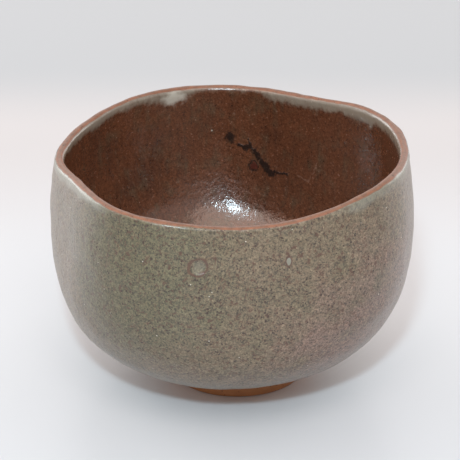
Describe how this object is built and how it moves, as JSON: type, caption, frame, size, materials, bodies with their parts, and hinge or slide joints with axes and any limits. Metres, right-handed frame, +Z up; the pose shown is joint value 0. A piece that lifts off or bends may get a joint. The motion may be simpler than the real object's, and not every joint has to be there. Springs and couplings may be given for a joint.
{
  "type": "tea bowl",
  "caption": "Hand-pressed stoneware tea bowl with a wavy bare lip, glazed inside and out, standing on a low bare foot ring.",
  "frame": {"origin": "bottom centre of the bowl's bounding box, on the surface the foot ring stands on", "axes": "+Z up through the open mouth, -Y is the front of the bowl, +X to the right seen from the front"},
  "size_m": [0.1208, 0.1244, 0.0845],
  "materials": {
    "bare_clay": "bare fired stoneware, rust orange, matt",
    "foot_clay": "bare fired stoneware, orange brown, matt",
    "ash_glaze": "satin grey-green ash glaze with fine dark iron specks",
    "iron_glaze": "glossy red-brown glaze, paler where it is thick under the lip"
  },
  "bodies": {
    "root": {"clay_body": "bare_clay", "foot_ring": "foot_clay", "outer_glaze": "ash_glaze", "inner_glaze": "iron_glaze"}
  },
  "joints": []
}
